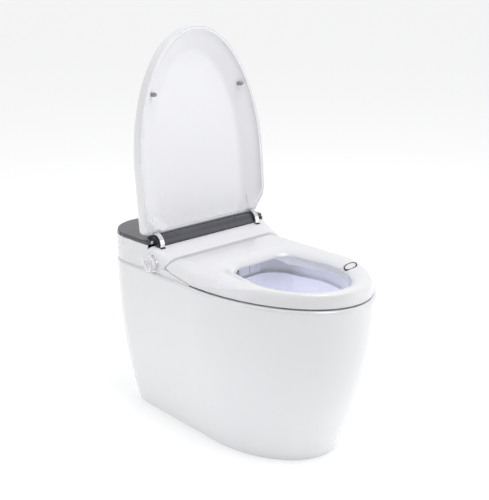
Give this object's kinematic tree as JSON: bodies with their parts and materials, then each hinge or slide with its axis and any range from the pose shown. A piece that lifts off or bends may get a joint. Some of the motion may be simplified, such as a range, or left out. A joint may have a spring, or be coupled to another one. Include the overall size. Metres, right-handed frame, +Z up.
{
  "type": "electric bidet toilet",
  "caption": "Floor-standing ceramic toilet with a built-in electric bidet: heated soft-close seat, domed lid on curved arms, side dial, sliding spray nozzle and dryer flap.",
  "frame": {"origin": "centre of the waste outlet's bore, on the floor", "axes": "+Z up from the floor, -Y towards the front of the bowl, +X towards a seated person's left"},
  "size_m": [0.4104, 0.705, 0.9508],
  "materials": {
    "glazed_ceramic": "gloss white glaze",
    "white_abs": "gloss white ABS",
    "white_matt": "matt white moulding",
    "charcoal": "semi-gloss charcoal",
    "chrome": "polished",
    "steel": "plain",
    "grey_rubber": "soft",
    "grey_plastic": "satin light grey",
    "dark_plastic": "matt",
    "foil": "foil",
    "board": "solder mask",
    "brass": "plain",
    "lens": "polished"
  },
  "bodies": {
    "toilet": {"base_bolts": "steel", "base_plate": "white_matt", "blower_motor": "steel", "blower_scroll": "dark_plastic", "ceramic_pedestal": "glazed_ceramic", "control_board": "board", "deodoriser": "grey_plastic", "dryer_duct": "grey_plastic", "feed_pipe": "grey_rubber", "guide_stand": "white_matt", "hinge_bearing_left": "dark_plastic", "hinge_bearing_right": "dark_plastic", "hinge_roll": "charcoal", "indicator_lens": "lens", "inlet_valve": "dark_plastic", "knob_collar": "chrome", "knob_switch": "dark_plastic", "lid_damper_left": "dark_plastic", "lid_damper_right": "dark_plastic", "nozzle_guide": "grey_plastic", "nozzle_motor": "dark_plastic", "power_gland": "dark_plastic", "power_supply": "foil", "seat_hinge_posts": "white_matt", "supply_pipe": "grey_rubber", "top_cover": "charcoal", "upper_housing": "white_abs", "water_heater": "grey_plastic", "water_inlet": "brass"},
    "lid": {"lid_shell": "white_abs", "lid_panel": "white_abs", "lid_bumpers": "grey_rubber", "hinge_arm_left": "chrome", "hinge_arm_right": "chrome", "hinge_shaft_left": "steel", "hinge_shaft_right": "steel"},
    "seat": {"seat_shell": "white_abs", "seat_plate": "white_abs", "seat_heater": "foil", "seat_bumpers": "grey_rubber", "seat_pins": "steel", "seat_dampers": "dark_plastic", "badge_ring": "dark_plastic", "badge_disc": "white_abs"},
    "dial": {"knob_dial": "white_abs"},
    "button": {"knob_button": "white_abs"},
    "nozzle": {"nozzle_wand": "white_matt", "nozzle_tip": "steel", "nozzle_rack": "dark_plastic", "nozzle_gate": "grey_plastic"},
    "pinion": {"nozzle_pinion": "white_matt"},
    "flap": {"dryer_flap": "grey_plastic"},
    "fan": {"blower_fan": "white_matt"}
  },
  "joints": [
    {"name": "lid_hinge", "type": "hinge", "parent": "toilet", "child": "lid", "pos_m": [0, 0.112, 0.449], "axis": [-1, 0, 0], "range_deg": [-94.84, 0]},
    {"name": "seat_hinge", "type": "hinge", "parent": "toilet", "child": "seat", "pos_m": [0, 0.0294, 0.418], "axis": [-1, 0, 0], "range_deg": [0, 95]},
    {"name": "knob_turn", "type": "hinge", "parent": "toilet", "child": "dial", "pos_m": [-0.2, 0.08, 0.4145], "axis": [-1, 0, 0], "range_deg": [-60, 60]},
    {"name": "knob_press", "type": "slide", "parent": "dial", "child": "button", "axis": [1, 0, 0], "range_m": [0, 0.0025], "stiffness_N_per_m": 900, "springref_m": -0.001},
    {"name": "nozzle_slide", "type": "slide", "parent": "toilet", "child": "nozzle", "axis": [0, -0.9816, -0.1908], "range_m": [0, 0.095]},
    {"name": "pinion_spin", "type": "hinge", "parent": "toilet", "child": "pinion", "pos_m": [-0.03, 0.06587, 0.40663], "axis": [0, -0.1908, 0.9816], "range_deg": [-915, 1]},
    {"name": "dryer_flap_hinge", "type": "hinge", "parent": "toilet", "child": "flap", "pos_m": [0.0177, -0.05125, 0.40225], "axis": [-1, 0, 0], "range_deg": [0, 80], "stiffness_Nm_per_rad": 0.002},
    {"name": "fan_spin", "type": "hinge", "parent": "toilet", "child": "fan", "pos_m": [0.038, 0.112, 0.41], "axis": [0, 0, 1], "continuous": true}
  ],
  "couplings": [
    {"joint": "pinion_spin", "follows": "nozzle_slide", "rad_per_m": -166.67}
  ]
}
